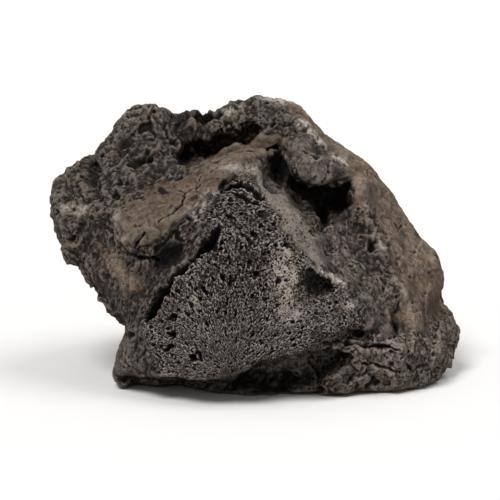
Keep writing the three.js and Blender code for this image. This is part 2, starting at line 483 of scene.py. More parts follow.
# Hollows that the solid has too shallow, from the front.
SINKS: tuple[Sink, ...] = (
    # The cave under the boss.
    Sink((
        (15, 97), (20, 93), (30, 91), (40, 91), (44, 93), (45, 87), (44, 80), (40, 81), (33, 77),
        (27, 82), (20, 87), (14, 92),
    ), feather=2.5, depth=(-60, 6), wander=1.6, push=(0, 17, 2)),
    # The niche left of the boss.
    Sink((
        (4, 107), (9, 110), (13, 106), (14, 99), (11, 94), (6, 99),
    ), feather=2.5, depth=(-60, 12), wander=2, push=(2, 13, -1)),
    # The cleft behind the slab.
    Sink((
        (-38, 109), (-30, 112), (-20, 116), (-6, 120), (2, 120), (0, 114), (-12, 112), (-18, 108),
        (-26, 106),
    ), feather=2.5, depth=(-30, 30), wander=3, push=(0, 11, -4)),
    # The pocket in the face.
    Sink((
        (19, 55), (21, 60), (28, 60), (33, 56), (35, 51), (29, 48), (24, 51),
    ), feather=3, depth=(-90, -30), wander=2.5, push=(2, 9, 2)),
    # The hollow under the slab's lower edge.
    Sink((
        (-49, 61), (-48, 68), (-41, 73), (-33, 74), (-35, 67), (-41, 61),
    ), feather=3, depth=(-70, -30), wander=4, push=(0, 4.5, 1)),
    # A small pit in the basin.
    Sink(((29, 80), (33, 81), (34, 77), (30, 76)), feather=2, depth=(-40, 0), wander=1, push=(0, 5, -4)),
    # A hollow in the clinker at the left.
    Sink((
        (-85, 103), (-77, 106), (-74, 97), (-77, 92), (-82, 95),
    ), feather=4, depth=(-60, 10), wander=4, push=(3, 5, -2)),
    # Notches between the knoll and the rear ridge, and in the ridge.
    Sink((
        (-42, 128), (-34, 128), (-33, 121), (-40, 120),
    ), feather=3, depth=(-10, 50), wander=3, push=(0, 8, -3)),
    Sink((
        (-30, 125), (-25, 126), (-24, 121), (-29, 121),
    ), feather=3, depth=(0, 50), wander=3, push=(0, 6, 0)),
    # Under the lip.
    Sink((
        (-12, 4), (-9, 15), (0, 20), (10, 23), (22, 25), (36, 25), (42, 20), (34, 12), (26, 6), (10, 1),
    ), feather=4, depth=(-90, -40), wander=2, push=(0, 15, 1)),
    # Along the foot of the face.
    Sink((
        (-62, -9), (-62, 7), (-50, 9), (-36, 8), (-22, 11), (-10, 9), (10, 9), (30, 5), (30, -9),
    ), feather=5, depth=(-90, -20), wander=3, push=(0, 8, 0)),
)

# Painted shade: hollows and undersides painted near-black.
SHADE_PATCHES: tuple[ShadePatch, ...] = (
    ShadePatch((
        (-50, 62), (-49, 69), (-42, 75), (-34, 75), (-35, 68), (-41, 62),
    ), depth=(-70, -30), wander=4, black=0.88),
    ShadePatch((
        (4, 107), (9, 110), (14, 106), (15, 99), (12, 93), (6, 99),
    ), feather=2, depth=(-20, 40), black=0.72),
    ShadePatch((
        (12, 95), (24, 93), (36, 94), (44, 95), (45, 87), (44, 79), (40, 80), (33, 77), (25, 83),
        (17, 89),
    ), depth=(-60, 22), black=0.75),
    ShadePatch((
        (-84, 102), (-78, 105), (-75, 97), (-77, 93), (-82, 96),
    ), feather=5, depth=(-60, 12), wander=5, black=0.7),
    ShadePatch(((-42, 128), (-34, 127), (-33, 121), (-40, 120)), depth=(-10, 40), wander=4, black=0.7),
    ShadePatch(((-30, 125), (-25, 126), (-24, 121), (-29, 121)), depth=(0, 40), wander=3, black=0.7),
    ShadePatch((
        (20, 56), (22, 60), (28, 60), (33, 56), (34, 51), (29, 49), (24, 51),
    ), depth=(-90, -30), black=0.75),
    ShadePatch(((29, 80), (33, 81), (34, 77), (30, 76)), depth=(-40, 10), black=0.7),
    ShadePatch((
        (-60, -5), (-60, 3), (-50, 7), (-36, 8), (-22, 11), (-10, 14), (0, 20), (10, 23), (24, 24),
        (36, 23), (44, 16), (34, 8), (50, 4), (50, -5),
    ), feather=5, depth=(-90, -10), wander=4, black=0.42),
)

CRACKS: tuple[Crack, ...] = (
    # The long crack down the left of the face.
    Crack((
        (-18, -46, 82), (-21, -50, 77), (-24, -51, 73), (-29, -51, 69), (-35, -52, 64), (-40, -54, 59),
        (-43, -54, 53), (-47, -51, 47), (-50, -50, 42), (-52, -51, 37),
    ), (1.2, 3.0, 2.6, 1.2, 1.6, 1.1, 2.4, 2.2, 2.0, 0.8), 12.0),
    # Under the slab's end.
    Crack((
        (-64, -42, 77), (-61, -44, 70), (-57, -45, 67), (-51, -47, 67), (-47, -47, 66),
    ), (0.6, 1.1, 1.5, 1.3, 2.0), 6.0),
    # Along the slab, in from its edge.
    Crack((
        (-57, -46, 71), (-56, -47, 75), (-52, -47, 79), (-45, -44, 84), (-39, -41, 88), (-35, -39, 91),
        (-34, -34, 94), (-38, -30, 96),
    ), (0.5, 0.6, 0.5, 0.6, 0.7, 0.5, 0.5, 0.35), 2.0),
    Crack((
        (-34, -34, 94), (-32, -32, 96), (-28, -30, 98), (-27, -26, 100), (-21, -24, 104), (-17, -20, 107),
    ), (0.35, 0.5, 0.6, 0.5, 0.45, 0.35), 1.6),
    # Along the slab's lower edge, above the fine-grained rock.
    Crack((
        (-47, -47, 71), (-41, -45, 77), (-37, -44, 81), (-34, -43, 83), (-30, -41, 86), (-27, -38, 88),
    ), (1.0, 0.6, 0.4, 0.6, 0.4, 0.35), 1.8),
    # Right of the apex.
    Crack((
        (-17, -31, 95), (-12, -28, 98), (-8, -27, 98), (-5, -27, 97), (0, -31, 94), (4, -33, 91),
    ), (0.6, 1.2, 1.5, 1.2, 1.4, 0.6), 5.0),
    Crack(((-10, -31, 95), (-5, -32, 92), (1, -34, 90)), (0.5, 1.1, 0.5), 3.0),
    # Bubbles in the face that ran together into larger holes.
    Crack(((-40, -57, 42), (-39, -57, 40)), (1.1, 1.0), 5.0),
    Crack(((-40, -58, 33), (-39, -58, 36)), (1.3, 0.8), 5.0),
    Crack(((-42, -59, 27), (-39, -59, 28)), (1.3, 1.0), 5.0),
    Crack(((-31, -64, 25), (-29, -64, 23)), (0.9, 1.2), 5.0),
    Crack(((-27, -65, 26), (-26, -65, 23)), (0.8, 1.2), 5.0),
    Crack(((-13, -58, 59), (-12, -58, 57)), (1.0, 1.1), 4.0),
    Crack(((-25, -59, 55), (-24, -59, 53)), (1.1, 0.9), 4.0),
    Crack(((-20, -55, 72), (-17, -55, 73)), (0.9, 1.2), 4.0),
    # Down the boss.
    Crack(((19, -10, 113), (24, -12, 111), (28, -13, 110), (29, -16, 107)), (0.5, 1.1, 1.3, 0.4), 2.6),
    # Along the lip and the block under it.
    Crack((
        (24, -59, 29), (36, -54, 29), (43, -49, 27), (54, -48, 25), (64, -49, 24), (77, -39, 20),
    ), (0.6, 1.2, 1.0, 1.3, 0.9, 0.5), 3.5),
    Crack(((48, -48, 18), (53, -47, 17), (58, -46, 15), (67, -46, 12)), (0.5, 1.0, 0.9, 0.5), 2.6),
    Crack(((70, -44, 17), (74, -42, 12), (75, -41, 6)), (0.5, 0.9, 0.5), 2.5),
)

# White mineral crust, and pale worn streaks, by the lines that they follow and how far they spread.
CRUSTS: tuple[tuple[tuple[Point, ...], float], ...] = (
    (((4, 28, 130), (11, 27, 131), (17, 30, 131)), 7.0),
    (((-13, 22, 126), (-9, 22, 127)), 5.0),
    (((22, 10, 121), (27, 10, 116), (31, 9, 112)), 5.0),
    (((38, 5, 107), (42, 4, 104)), 4.0),
    (((29, -49, 60), (36, -44, 57), (39, -44, 53)), 4.5),
)
STREAKS: tuple[tuple[tuple[Point, ...], float], ...] = (
    (((12, -52, 65), (14, -59, 57), (16, -61, 50), (16, -64, 45)), 8.0),
    (((-30, -41, 86), (-25, -35, 92), (-19, -33, 96)), 4.5),
    (((-67, -30, 86), (-65, -38, 80), (-62, -43, 76)), 3.5),
    (((-17, -22, 104), (-9, -21, 105), (-3, -20, 104)), 4.0),
    (((9, -44, 73), (13, -48, 70)), 4.0),
    (((44, -48, 46), (40, -50, 50)), 5.0),
    (((-34, -57, 34), (-33, -57, 42), (-29, -57, 49)), 4.5),
    (((52, -9, 88), (56, -14, 78), (59, -18, 66)), 3.5),
    (((66, -30, 54), (70, -28, 46), (72, -28, 40)), 3.5),
    (((-48, 10, 131), (-44, 10, 128)), 3.0),
    (((-90, -17, 85), (-86, -19, 86), (-82, -24, 84)), 4.5),
    (((-44, -56, 12), (-30, -60, 14), (-18, -62, 16), (-2, -62, 14), (4, -60, 18)), 4.5),
)

# Where the vesicles stand thickest in the face, as a line and how far they spread from it.
SPONGE: tuple[tuple[Point, ...], float] = (((-14, -47, 79), (-11, -54, 66), (-14, -58, 52)), 24.0)

# Centre and facing of the arcs that the face's vesicles lie along, and the radius where they are round.
ARC_CENTRE = (-12.0, -60.0, 12.0)
ARC_FACING = (0.0, -0.87, 0.49)
ARC_ROUND = 62.0

# Ways that the stripes left of the long crack run, the slab's grain, and the folds of the clinker.
STRIPE_WAY = (0.53, 0.05, 0.85)
SLAB_WAY = (0.8, 0.35, 0.45)
FOLD_WAY = (0.3, 0.1, 0.95)


@dataclass(frozen=True)
class Surface:
    """How one kind of surface of the stone looks, and how it is broken.

    Attributes:
        shadow: Its colour where it is darkest.
        body: Its commonest colour.
        bloom: Its colour where it is palest.
        fleck: How thickly fine vesicles too small for the mesh are strewn over it, from 0 to 1.
        rough: Height of its broad roughness.
        grit: Height of its fine roughness.
        chips: Height, width and seed of each layer of chips.
        lumps: Height, spacing and seed of each layer of lumps.
        vesicles: Spacing, smallest and largest radius, chance and seed of each size of vesicle.
        gaps: Spacing, depth, share and seed of its gaps.
        gain: How much deeper its vesicles are than round ones.
    """

    shadow: str
    body: str
    bloom: str
    fleck: float
    rough: float
    grit: float
    chips: tuple[tuple[float, float, int], ...] = ()
    lumps: tuple[tuple[float, float, int], ...] = ()
    vesicles: tuple[tuple[float, Spot, float, int], ...] = ()
    gaps: tuple[tuple[float, float, float, int], ...] = ()
    gain: float = 1.0


# Marks besides the zones that the stone stores for its finish; pit, sky, crest and the hollows' mark drive
# painted shade and highlight.
MARKS = ("crust", "streak", "fleck", "pit", "hollow_shade", "sky", "crest")

# Basalt is a glassy grey-brown rock. Fresh breaks are dark, and air and water turn its skin brown.
SURFACES: dict[Zone, Surface] = {
    # Lumps and ropy folds with ragged gaps between them, all full of vesicles.
    Zone.CLINKER: Surface(
        "#12100e", "#322c27", "#6b6158", fleck=0.4, rough=0.9, grit=0.7,
        chips=((0.9, 7.0, 22),), lumps=((2.0, 9.5, 1),),
        vesicles=((4.4, (0.5, 1.3), 0.3, 4), (2.3, (0.35, 0.85), 0.5, 5)), gaps=((10.0, 4.5, 0.33, 3),),
    ),
    # Fine diagonal stripes with small vesicles strung along them.
    Zone.GRAINED: Surface(
        "#151210", "#3a322c", "#665d54", fleck=0.8, rough=0.7, grit=0.5,
        vesicles=((2.6, (0.5, 1.1), 0.7, 9),), gain=1.1, gaps=((7.0, 2.2, 0.22, 31),),
    ),
    # A sponge of vesicles in three sizes, drawn out along the arcs.
    Zone.POROUS: Surface(
        "#211c19", "#5d554e", "#9b9189", fleck=1.0, rough=0.8, grit=0.4, gain=1.5,
        vesicles=((5.5, (0.7, 2.0), 0.45, 6), (3.0, (0.6, 1.35), 0.65, 7), (1.8, (0.4, 0.85), 0.8, 8)),
    ),
    # A hackly break with scattered vesicles.
    Zone.BLOCK: Surface(
        "#1f1a17", "#5e544b", "#8c8076", fleck=0.5, rough=0.9, grit=0.6,
        chips=((1.6, 11.0, 10), (0.8, 4.5, 11)),
        vesicles=((5.0, (0.6, 1.7), 0.5, 12),), gaps=((10.0, 1.8, 0.22, 13),),
    ),
    # Blunt knobs, pitted with vesicles.
    Zone.DENSE: Surface(
        "#1c1816", "#4b433c", "#7d7269", fleck=0.55, rough=0.6, grit=0.5,
        chips=((0.8, 9.0, 28),), lumps=((1.3, 7.5, 27),),
        vesicles=((4.5, (0.5, 1.4), 0.45, 29),), gaps=((9.0, 2.4, 0.24, 30),),
    ),
    # Dense rock with blunt facets.
    Zone.BOSS: Surface(
        "#211c19", "#4f4741", "#7b7068", fleck=0.35, rough=0.6, grit=0.5, chips=((1.3, 12.0, 24),),
        vesicles=((4.0, (0.4, 1.1), 0.35, 25),), gaps=((14.0, 2.0, 0.18, 26),),
    ),
    # A nearly smooth strip.
    Zone.BAND: Surface(
        "#443e39", "#776e66", "#8c8279", fleck=0.5, rough=0.4, grit=0.4, chips=((0.3, 9.0, 20),),
        vesicles=((3.6, (0.3, 0.9), 0.4, 21),),
    ),
    # Worn facets with a few open vesicles.
    Zone.SKIN: Surface(
        "#3d332c", "#6b5b4c", "#8d7f71", fleck=0.3, rough=0.6, grit=0.35,
        chips=((0.6, 16.0, 16), (0.15, 6.0, 17)),
        vesicles=((6.0, (0.5, 1.4), 0.35, 18),), gaps=((9.0, 1.0, 0.1, 19),),
    ),
    # A smooth plate with a fine grain along it.
    Zone.SLAB: Surface(
        "#332b24", "#594a3d", "#74675b", fleck=0.25, rough=0.35, grit=0.3, chips=((0.5, 13.0, 14),),
        gaps=((8.0, 0.9, 0.22, 15),),
    ),
}


# ---- The stone ---------------------------------------------------


@dataclass
class Relief:
    """What the broken surface adds to the smooth stone: heights, and holes cut into them, in millimetres.

    Attributes:
        points: Places on the smooth stone.
    """

    points: Array

    def __post_init__(self) -> None:
        """Works out the patterns that several kinds of surface share."""
        self.shift = np.stack([noise(self.points, 9.0, 40 + i) for i in range(3)], axis=1)
        self.warp = self.points + 1.8 * self.shift
        self.rough = layered_noise(self.points, 9.0, 4, 50, 0.55)
        self.flow = flow(self.points) + 0.8 * self.shift
        self.stripes = stretched(self.points, STRIPE_WAY, 3.0)
        self.grit = 0.5 * layered_noise(self.points, 2.2, 2, 66) + 0.4 * chips(self.points, 2.6, 23)

    def of(self, zone: Zone) -> Layer:
        """Works out one kind of surface.

        Args:
            zone: Which kind.

        Returns:
            Heights, and depths of the holes.
        """
        look = SURFACES[zone]
        height = self.own(zone) + look.rough * self.rough + look.grit * self.grit
        for rise, width, seed in look.chips:
            height = height + rise * chips(self.warp, width, seed)
        for rise, spacing, seed in look.lumps:
            height = height + rise * (lumps(self.warp, spacing, seed) - 0.5)
        lie = {Zone.POROUS: self.flow, Zone.GRAINED: self.stripes, Zone.BAND: self.points}
        gain = look.gain
        if zone is Zone.POROUS:
            gain = gain * (0.9 + 0.4 * near_line(self.points, *SPONGE, 480))
        holes = [gain * bubbles(lie.get(zone, self.warp), *size) for size in look.vesicles]
        holes += [gaps(self.warp, *size) for size in look.gaps]
        return height, np.max(holes, axis=0)

    def own(self, zone: Zone) -> Array | float:
        """Works out the heights that only one kind of surface has.

        Args:
            zone: Which kind.

        Returns:
            The clinker's small lumps and ropy folds, the stripes, the slab's grain, or 0.
        """
        if zone is Zone.CLINKER:
            ropy = 1 - ramp(self.points[:, 0], -32.0, -8.0)
            folds = 1 - 2.4 * np.abs(noise(stretched(self.points + 3.0 * self.shift, FOLD_WAY, 4.0), 8.0, 61))
            return (1.4 - 1.1 * ropy) * (lumps(self.warp, 4.2, 2) - 0.55) + 1.3 * ropy * folds - 0.1
        if zone is Zone.GRAINED:
            return 0.8 * layered_noise(self.stripes, 3.2, 2, 62)
        if zone is Zone.SLAB:
            return 0.8 + 0.2 * noise(stretched(self.points, SLAB_WAY, 3.0), 2.2, 63)
        return 0.0


def flow(points: Array) -> Array:
    """Places by the arcs that the face's vesicles follow.

    Args:
        points: Places.

    Returns:
        How far each is along its arc, out from the centre of the arcs, and deep.
    """
    facing = np.array(ARC_FACING) / np.linalg.norm(ARC_FACING)
    across = np.array((1.0, 0.0, 0.0))
    away = points - np.array(ARC_CENTRE)
    side, up = away @ across, away @ np.cross(facing, across)
    return np.stack([ARC_ROUND * np.arctan2(side, up), np.hypot(side, up), away @ facing], axis=1)


def zone_cover(points: Array) -> dict[Zone, Array]:
    """Works out how much of each zone there is at each point.

    Args:
        points: Places.

    Returns:
        Values from 0 to 1 by zone, which add up to 1. Clinker is what the others leave.
    """
    covers: dict[Zone, Array] = {}
    left = np.ones(len(points))
    for zone, patches in ZONES.items():
        covers[zone] = np.max([patch.cover(points) for patch in patches], axis=0) * left
        left = left - covers[zone]
    covers[Zone.CLINKER] = left
    return covers


@dataclass
class Stone:
    """The block of vesicular basalt.

    Attributes:
        coarse: Mesh size at which the hollows are cut back.
        fine: Mesh size at which the relief is worked.
        faces: Triangles left in the finished skin.
        rays: Directions tried when its shelter from the sky is worked out.
        reach: How far away stone still shelters it.
        clear: How far off the surface those rays start.
        deepest: How deep vesicles and gaps go at most.
        shake: How far noise shakes the cracks, and its wavelength.
        seat: Heights over which the relief comes in, so that the stone still stands flat.
        back: The y over which the mesh gets coarser towards the back.
        easing: How strongly the mesh is kept fine where that matters.
        marks: What the finish reads off each point, by name.
    """

    coarse: float = 1.5
    fine: float = 0.5
    faces: int = 196_000
    rays: int = 20
    reach: float = 26.0
    clear: float = 0.3
    deepest: float = 4.5
    shake: Spot = (1.5, 4.5)
    seat: Spot = (0.5, 4.0)
    back: Spot = (-15.0, 30.0)
    easing: float = 2e-5
    marks: dict[str, Array] = field(default_factory=dict)

    def build(self, solid: bpy.types.Object) -> bpy.types.Object:
        """Makes the stone's skin over its solid.

        Args:
            solid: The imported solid, which stays as it is.

        Returns:
            The skin, with its marks stored on its points.
        """
        low, high = (np.array(corner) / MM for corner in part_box(NODE))
        skin = bpy.data.objects.new("basalt_block", solid.data.copy())
        bpy.context.scene.collection.objects.link(skin)
        self.pile_on(skin)
        self.remake(skin, "REMESH", mode="VOXEL", voxel_size=self.coarse * MM)
        self.remake(skin, "SMOOTH", factor=0.5, iterations=10)
        self.cut_back(skin)
        self.remake(skin, "REMESH", mode="VOXEL", voxel_size=self.fine * MM)
        self.remake(skin, "SMOOTH", factor=0.5, iterations=3)
        points, normals = self.read(skin)
        zones = zone_cover(points)
        height, holes = self.relief(points, zones)
        moved = np.clip(points + normals * (height - holes)[:, None], low, high)
        self.write(skin, moved)
        dense = KDTree(len(moved))
        for i, place in enumerate(moved):
            dense.insert(place, i)
        dense.balance()
        self.thin(skin, zones, points)
        self.drop_crumbs(skin)
        source = np.array([dense.find(place)[1] for place in self.read(skin)[0]])
        self.mark(points[source], holes[source])
        self.shape_marks(skin)
        for name, values in self.marks.items():
            kind, slot = ("FLOAT_VECTOR", "vector") if values.ndim == 2 else ("FLOAT", "value")
            layer = skin.data.attributes.new(name, kind, "POINT")
            layer.data.foreach_set(slot, values.astype(np.float32).ravel())
        skin.data.shade_smooth()
        log.info("%s: %d triangles", skin.name, self.triangles(skin))
        return skin

    @staticmethod
    def remake(skin: bpy.types.Object, kind: str, **settings: Any) -> None:
        """Applies one modifier to the skin.

        Args:
            skin: The object whose mesh is remade.
            kind: The modifier's type.
            settings: The modifier's settings by name.
        """
        modifier = skin.modifiers.new(kind.lower(), kind)
        for name, value in settings.items():
            setattr(modifier, name, value)
        view = bpy.context.evaluated_depsgraph_get()
        mesh = bpy.data.meshes.new_from_object(skin.evaluated_get(view))
        skin.modifiers.clear()
        old, skin.data = skin.data, mesh
        bpy.data.meshes.remove(old)

    @staticmethod
    def triangles(skin: bpy.types.Object) -> int:
        """How many triangles the mesh's faces come to."""
        skin.data.calc_loop_triangles()
        return len(skin.data.loop_triangles)

    @staticmethod
    def read(skin: bpy.types.Object) -> tuple[Array, Array]:
        """Reads the mesh's points.

        Args:
            skin: The object whose mesh is read.

        Returns:
            Their places in millimetres, and their normals.
        """
        count = len(skin.data.vertices)
        points = np.empty(count * 3, np.float32)
        normals = np.empty(count * 3, np.float32)
        skin.data.vertices.foreach_get("co", points)
        skin.data.vertex_normals.foreach_get("vector", normals)
        return points.reshape(-1, 3).astype(np.float64) / MM, normals.reshape(-1, 3).astype(np.float64)

    @staticmethod
    def write(skin: bpy.types.Object, points: Array) -> None:
        """Moves the mesh's points to places in millimetres."""
        skin.data.vertices.foreach_set("co", (points * MM).astype(np.float32).ravel())
        skin.data.update()

    @staticmethod
    def pile_on(skin: bpy.types.Object) -> None:
        """Adds the masses that the solid lacks, as closed balls that the first remesh melts in.

        Args:
            skin: The object that gets them.
        """
        mesh = bmesh.new()
        mesh.from_mesh(skin.data)
        for mass in MASSES:
            shape = Matrix.LocRotScale(Vector(mass.centre) * MM, None, Vector(mass.radii) * MM)
            bmesh.ops.create_icosphere(mesh, subdivisions=4, radius=1.0, matrix=shape)
        mesh.to_mesh(skin.data)
        mesh.free()

    def cut_back(self, skin: bpy.types.Object) -> None:
        """Sinks the hollows that the solid has too shallow.

        Args:
            skin: The object whose points are moved.
        """
        points, _ = self.read(skin)
        moved = points.copy()
        for i, sink in enumerate(SINKS):
            moved += sink.cover(points, 300 + i)[:, None] * np.array(sink.push)
        self.write(skin, moved)

    def thin(self, skin: bpy.types.Object, zones: dict[Zone, Array], points: Array) -> None:
        """Takes triangles out, mostly where the stone is smooth or at its back.

        Args:
            skin: The object whose mesh is thinned.
            zones: How much of each zone there is at each point.
            points: Where each point was before the relief.
        """
        front = 1 - ramp(points[:, 1], *self.back)
        keep = np.clip(zones[Zone.POROUS] + 0.55 * front, 0, 1)
        group = skin.vertex_groups.new(name="thin")
        for level in range(11):
            chosen = np.flatnonzero(np.round((1 - keep) * 10) == level)
            group.add(chosen.tolist(), level / 10, "REPLACE")
        ratio = self.faces / self.triangles(skin)
        self.remake(
            skin, "DECIMATE", ratio=ratio, vertex_group=group.name, vertex_group_factor=self.easing
        )

    @staticmethod
    def drop_crumbs(skin: bpy.types.Object) -> None:
        """Takes loose crumbs away, so that the stone is one closed piece.

        Args:
            skin: The object whose mesh is cleaned.
        """
        mesh = bmesh.new()
        mesh.from_mesh(skin.data)
        left = set(mesh.verts)
        pieces = []
        while left:
            piece = [left.pop()]
            for vert in piece:
                near = {edge.other_vert(vert) for edge in vert.link_edges} & left
                left -= near
                piece.extend(near)
            pieces.append(piece)
        pieces.sort(key=len)
        crumbs = [vert for piece in pieces[:-1] for vert in piece]
        bmesh.ops.delete(mesh, geom=crumbs, context="VERTS")
        mesh.to_mesh(skin.data)
        mesh.free()

    def relief(self, points: Array, zones: dict[Zone, Array]) -> tuple[Array, Array]:
        """Heights and depths of holes, in millimetres, over the whole stone.

        Args:
            points: Places on the smooth stone.
            zones: How much of each zone there is at each point.

        Returns:
            The heights, and the depths of the vesicles, gaps and cracks cut into them.
        """
        made = Relief(points)
        height, holes = np.zeros(len(points)), np.zeros(len(points))
        for zone, cover in zones.items():
            zone_height, zone_holes = made.of(zone)
            height += cover * zone_height
            holes += cover * zone_holes
        far, wave = self.shake
        shift = np.stack([layered_noise(points, wave, 2, 200 + i) for i in range(3)], axis=1)
        shaken = points + far * shift
        cracks = np.max([crack.cut(shaken) for crack in CRACKS], axis=0)
        seat = ramp(points[:, 2], *self.seat)
        return height * seat, np.maximum(np.minimum(holes, self.deepest) * seat, cracks)

    def mark(self, points: Array, holes: Array) -> None:
        """Works out the marks that depend on where a point was on the smooth stone.

        Args:
            points: Those places.
            holes: Depth of the holes there.
        """
        fleck = 0
        for zone, cover in zone_cover(points).items():
            self.marks[zone.value] = cover
            fleck = fleck + cover * SURFACES[zone].fleck
        porous, grained = (self.marks[zone.value][:, None] > 0.5 for zone in (Zone.POROUS, Zone.GRAINED))
        drawn = np.where(grained, stretched(points, STRIPE_WAY, 2.5), points)
        drawn = np.where(self.marks[Zone.SLAB.value][:, None] > 0.5, stretched(points, SLAB_WAY, 1.6), drawn)
        self.marks["flow"] = np.where(porous, flow(points), drawn) * MM
        for name, lines in (("crust", CRUSTS), ("streak", STREAKS)):
            self.marks[name] = np.max(
                [near_line(points, line, reach, 400 + i) for i, (line, reach) in enumerate(lines)], axis=0
            )
        dense = near_line(points, *SPONGE, 480)
        self.marks["fleck"] = fleck * (0.92 + 0.2 * dense - 0.3 * self.marks["streak"])
        # Painted shade: the finish paints vesicles, gaps and cracks near-black by their depth.
        self.marks["pit"] = ramp(holes, 0.15, 0.95)
        # Painted shade: how near-black each hollow and underside is painted.
        self.marks["hollow_shade"] = np.max([hollow_shade.black * hollow_shade.cover(points) for hollow_shade in SHADE_PATCHES], axis=0)

    def shape_marks(self, skin: bpy.types.Object) -> None:
        """Works out the marks that depend on the finished shape: how much light from above, and how sharp.
        The finish paints shade where little light from above reaches, and paints highlight and shade by
        sharpness.

        Args:
            skin: The finished skin.
        """
        points, normals = self.read(skin)
        ends = np.empty(len(skin.data.edges) * 2, np.int32)
        skin.data.edges.foreach_get("vertices", ends)
        a, b = ends.reshape(-1, 2).T
        lengths = np.linalg.norm(points[a] - points[b], axis=1)
        count = np.bincount(ends, minlength=len(points))
        here, there = np.concatenate((a, b)), np.concatenate((b, a))
        around = np.stack([np.bincount(here, points[there, i], len(points)) for i in range(3)], axis=1)
        span = np.bincount(here, np.tile(lengths, 2), len(points)) / count
        crest = np.sum((points - around / count[:, None]) * normals, axis=1) / span
        # The finish paints a highlight on convex rims from this, and painted shade in creases.
        self.marks["crest"] = np.clip(crest * 2, -1, 1)

        self.triangles(skin)
        tree = BVHTree.FromPolygons(
            [Vector(p) for p in points], [tuple(t.vertices) for t in skin.data.loop_triangles]
        )
        starts = [Vector(p) for p in points + self.clear * normals]
        ways = np.random.default_rng(7).normal(size=(self.rays, 3))
        ways[:, 2] = np.abs(ways[:, 2])
        ways /= np.linalg.norm(ways, axis=1)[:, None]
        light = np.zeros(len(points))
        for way in ways:
            facing = np.maximum(normals @ way, 0)
            ray = Vector(way)
            free = [
                share > 0 and tree.ray_cast(start, ray, self.reach)[0] is None
                for start, share in zip(starts, facing.tolist())
            ]
            light += facing * free
        self.marks["sky"] = light / ways[:, 2].sum()


# ---- Finishes ----------------------------------------------------


def linear(colour: str) -> tuple[float, float, float, float]:
    """Turns an sRGB colour into a linear one.

    Args:
        colour: Hex, such as "#6b5d51".

    Returns:
        Red, green, blue and alpha.
    """
    parts = [int(colour[i : i + 2], 16) / 255 for i in (1, 3, 5)]
    r, g, b = (p / 12.92 if p <= 0.04045 else ((p + 0.055) / 1.055) ** 2.4 for p in parts)
    return r, g, b, 1.0


def add(tree: bpy.types.NodeTree, kind: str, given: dict | None = None, out: Any = 0) -> Any:
    """Adds one node to a tree.

    Args:
        tree: The tree that gets it.
        kind: The node's type, without "ShaderNode".
        given: Its settings and links: a value or the output socket that feeds it, by the name or number of an
            input, or a value by the name of one of the node's own properties.
        out: Name or number of the wanted output.

    Returns:
        That output's socket, or None from a node that has none.
    """
    node = tree.nodes.new("ShaderNode" + kind)
    for name, value in (given or {}).items():
        if isinstance(value, bpy.types.NodeSocket):
            tree.links.new(value, node.inputs[name])
        elif isinstance(name, str) and hasattr(node, name):
            setattr(node, name, value)
        else:
            node.inputs[name].default_value = value
    return node.outputs[out] if node.outputs else None


